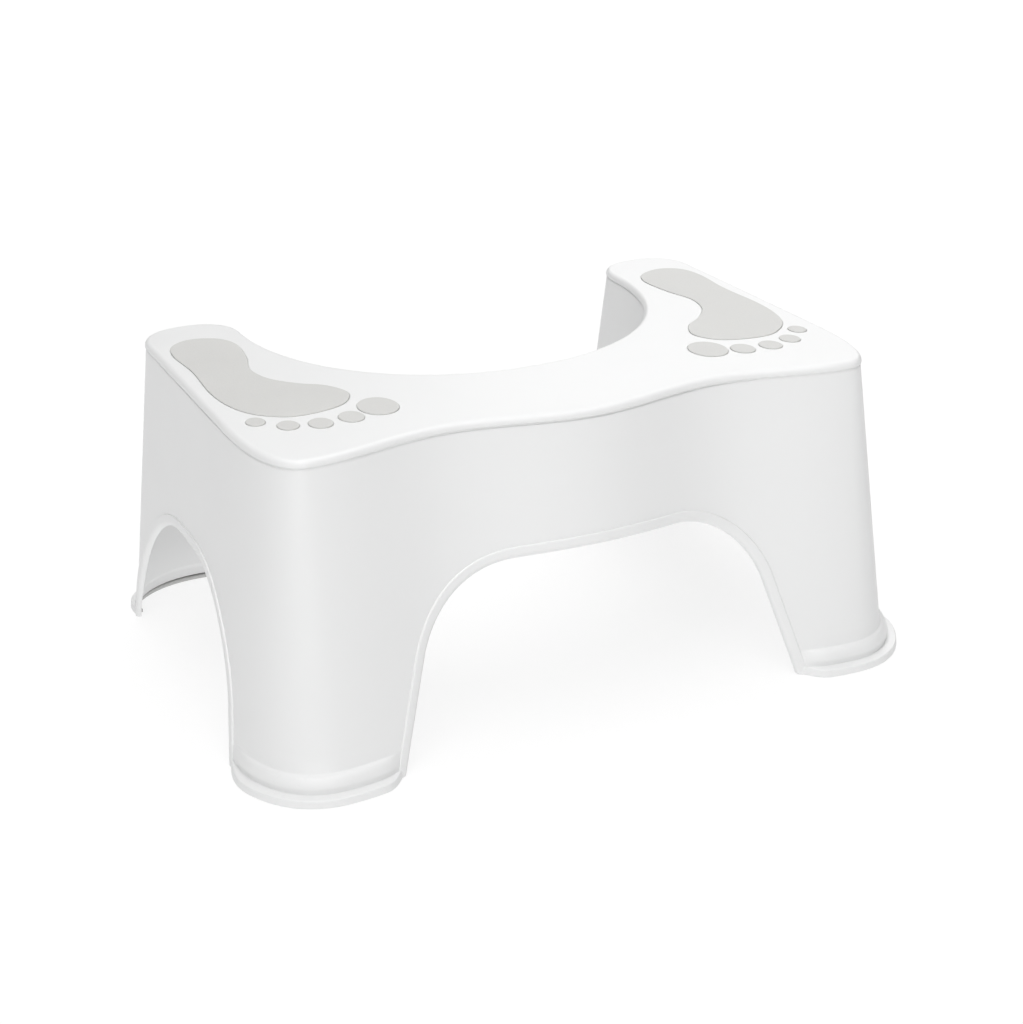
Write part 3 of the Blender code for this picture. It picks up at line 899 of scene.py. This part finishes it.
def makeStrip(name, columnsOfFoot, node):
    # A rounded section, (reach, height), carried along the foot inside the flange's hollow.
    use = strips
    outer = -shell["wall"] - use["clearance"]
    inner, top, radius = outer - use["width"], use["height"], use["edge"]
    section = roundedCorners([
        (inner, 0, radius), (outer, 0, radius), (outer, top, radius), (inner, top, radius)],
        use["arcPoints"])
    flange = shell["flangeReach"] * flangeFades()[columnsOfFoot][:, None]
    reach = drafted(section[:, 1])[None] + section[None, :, 0] + flange
    flat = outline[columnsOfFoot][:, None] + normals[columnsOfFoot][:, None] * reach[:, :, None]
    z = np.broadcast_to(section[:, 1], reach.shape)
    points = np.concatenate([flat, z[:, :, None]], 2).reshape(-1, 3)
    faces = tubeFaces(len(columnsOfFoot), len(section))
    addPiece(name, points, faces, "foot_rubber", [node])


def footColumns(low, high):
    # Columns of one foot, short of both arches by the end gap.
    order = np.arange(low, high) % len(edge)
    order = order[~onArch[order]]
    flat = outline[order] + normals[order] * drafted(0)
    fromFirst, fromLast = (np.linalg.norm(flat - flat[end], axis=1) for end in (0, -1))
    return order[np.minimum(fromFirst, fromLast) > strips["endGap"]]


crown = int(np.argmax(edge[:sideMiddle + 1]))       # the front arch's highest column on the right
cutoutMiddle = plan["columns"]
makeStrip("frontRightFootStrip", footColumns(crown, sideMiddle), "front_right_foot_strip")
makeStrip("backRightFootStrip", footColumns(sideMiddle, cutoutMiddle), "back_right_foot_strip")
makeStrip("backLeftFootStrip", footColumns(cutoutMiddle, wayRound - sideMiddle),
          "back_left_foot_strip")
makeStrip("frontLeftFootStrip", footColumns(wayRound - sideMiddle, wayRound - crown),
          "front_left_foot_strip")
print("foot strips made")


# Floor, light and camera

studio = {
    "floorColour": (0.22, 0.22, 0.22, 1.0), "paperRoughness": 0.9, "paperSpecular": 0.1,
    "floorGlow": 0.79, "farGlow": 1.0, "glowFrom": 0.9, "glowTo": 3.2,
    "sides": 128, "floorRings": (1.0, 2.0, 4.0, 8.0),
    "sweepRadius": 3.0, "sweepTop": 6.0, "sweepOverlap": 0.05, "sweepLift": 0.001,
    "sweepPoints": 24,
    "worldColour": (1.0, 1.0, 1.0, 1.0), "worldStrength": 0.02,
    "lights": [                                     # name, place, width, power
        ("topLight", (-0.36, -0.72, 4.53), 5.5, 201.0),
        ("frontLight", (-1.77, -3.50, 2.35), 4.5, 96.0),
        ("backLight", (1.44, 2.48, 3.54), 4.0, 62.0),
        ("glanceLight", (2.60, 3.31, 1.64), 2.6, 22.0)],
}
shot = {
    "azimuth": -24.75, "elevation": 23.34, "roll": -1.10, "distance": 1.2505,
    "target": (-0.0050, -0.0264, 0.0970), "lens": 64.27, "sensor": 36.0,
}


def makeStage(name, rows, material, filled):
    # Rows of (radius, height) turned about the upright axis; where filled, a many-sided face closes
    # the first row.
    circle = circlePoints(studio["sides"])
    rings = [np.concatenate([circle * radius, np.full((len(circle), 1), height)], 1)
             for radius, height in rows]
    index = ringIndex(len(rings), len(circle))
    faces = ringQuads(index[::-1])
    if filled:
        faces.append(index[0].tolist())
    mesh = bpy.data.meshes.new(name)
    mesh.from_pydata(np.concatenate(rings).tolist(), [], faces)
    mesh.materials.append(material)
    mesh.shade_smooth()
    staged = bpy.data.objects.new(name, mesh)
    bpy.context.collection.objects.link(staged)
    return staged


def makePaper():
    # Pale paper that glows evenly near the stool and a little more further out.
    use = studio
    material, shader, start, place = newMaterial("floorPaper", {
        "Roughness": use["paperRoughness"], "Specular IOR Level": use["paperSpecular"],
        "Base Color": use["floorColour"], "Emission Strength": use["farGlow"]})
    out = start.node("ShaderNodeVectorMath", {"operation": "LENGTH"}, {0: place}, "Value")
    far = ((out - use["glowFrom"]) * (1 / (use["glowTo"] - use["glowFrom"]))).clamped()
    near = use["floorGlow"] / use["farGlow"]
    glow = far.mixed((near, near, near, 1.0), (1.0, 1.0, 1.0, 1.0))
    return feed(material, shader, {"Emission Color": glow})


def makeFloor():
    # A level disc, and round it a wall on a quarter circle that only the camera sees.
    use = studio
    paper = makePaper()
    makeStage("studioFloor", [(radius, 0.0) for radius in use["floorRings"]], paper, True)
    turn = quarterTurn(use["sweepPoints"])
    radii = use["floorRings"][-1] - use["sweepOverlap"] + use["sweepRadius"] * np.sin(turn)
    heights = use["sweepLift"] + use["sweepRadius"] * (1 - np.cos(turn))
    rows = list(zip(radii, heights)) + [(radii[-1], use["sweepTop"])]
    sweep = makeStage("studioSweep", rows, paper, False)
    sweep.visible_diffuse = sweep.visible_glossy = sweep.visible_shadow = False


def makeLight(name, place, width, power):
    # A square area light that faces the camera's target.
    data = bpy.data.lights.new(name, "AREA")
    data.size = width
    data.energy = power
    light = bpy.data.objects.new(name, data)
    light.location = place
    facing = Vector(place) - Vector(shot["target"])
    light.rotation_euler = facing.to_track_quat("Z", "Y").to_euler()
    light.visible_camera = False
    bpy.context.collection.objects.link(light)


def makeStudio():
    # Floor, a faint even world, the lights, and colours that go out as they are.
    makeFloor()
    world = bpy.data.worlds.new("studioWorld")
    world.use_nodes = True
    background = world.node_tree.nodes["Background"]
    background.inputs["Color"].default_value = studio["worldColour"]
    background.inputs["Strength"].default_value = studio["worldStrength"]
    bpy.context.scene.world = world
    for name, place, width, power in studio["lights"]:
        makeLight(name, place, width, power)
    bpy.context.scene.view_settings.view_transform = "Standard"


def makeCamera():
    # Looks at the target from azimuth and elevation, then turns by roll about its own axis.
    use = shot
    azimuth, elevation, roll = (math.radians(use[key]) for key in ("azimuth", "elevation", "roll"))
    level = Vector((math.cos(azimuth), math.sin(azimuth), 0))
    back = Vector((math.sin(azimuth) * math.cos(elevation),
                   -math.cos(azimuth) * math.cos(elevation), math.sin(elevation)))
    upright = back.cross(level)
    right = level * math.cos(roll) + upright * math.sin(roll)
    up = upright * math.cos(roll) - level * math.sin(roll)
    stand = Matrix.Translation(Vector(use["target"]) + back * use["distance"])
    data = bpy.data.cameras.new("camera")
    data.sensor_width = use["sensor"]
    data.sensor_fit = "HORIZONTAL"
    data.lens = use["lens"]
    camera = bpy.data.objects.new("camera", data)
    camera.matrix_world = stand @ Matrix((right, up, back)).transposed().to_4x4()
    bpy.context.collection.objects.link(camera)
    bpy.context.scene.camera = camera


makeStudio()
makeCamera()
print("studio and camera set")
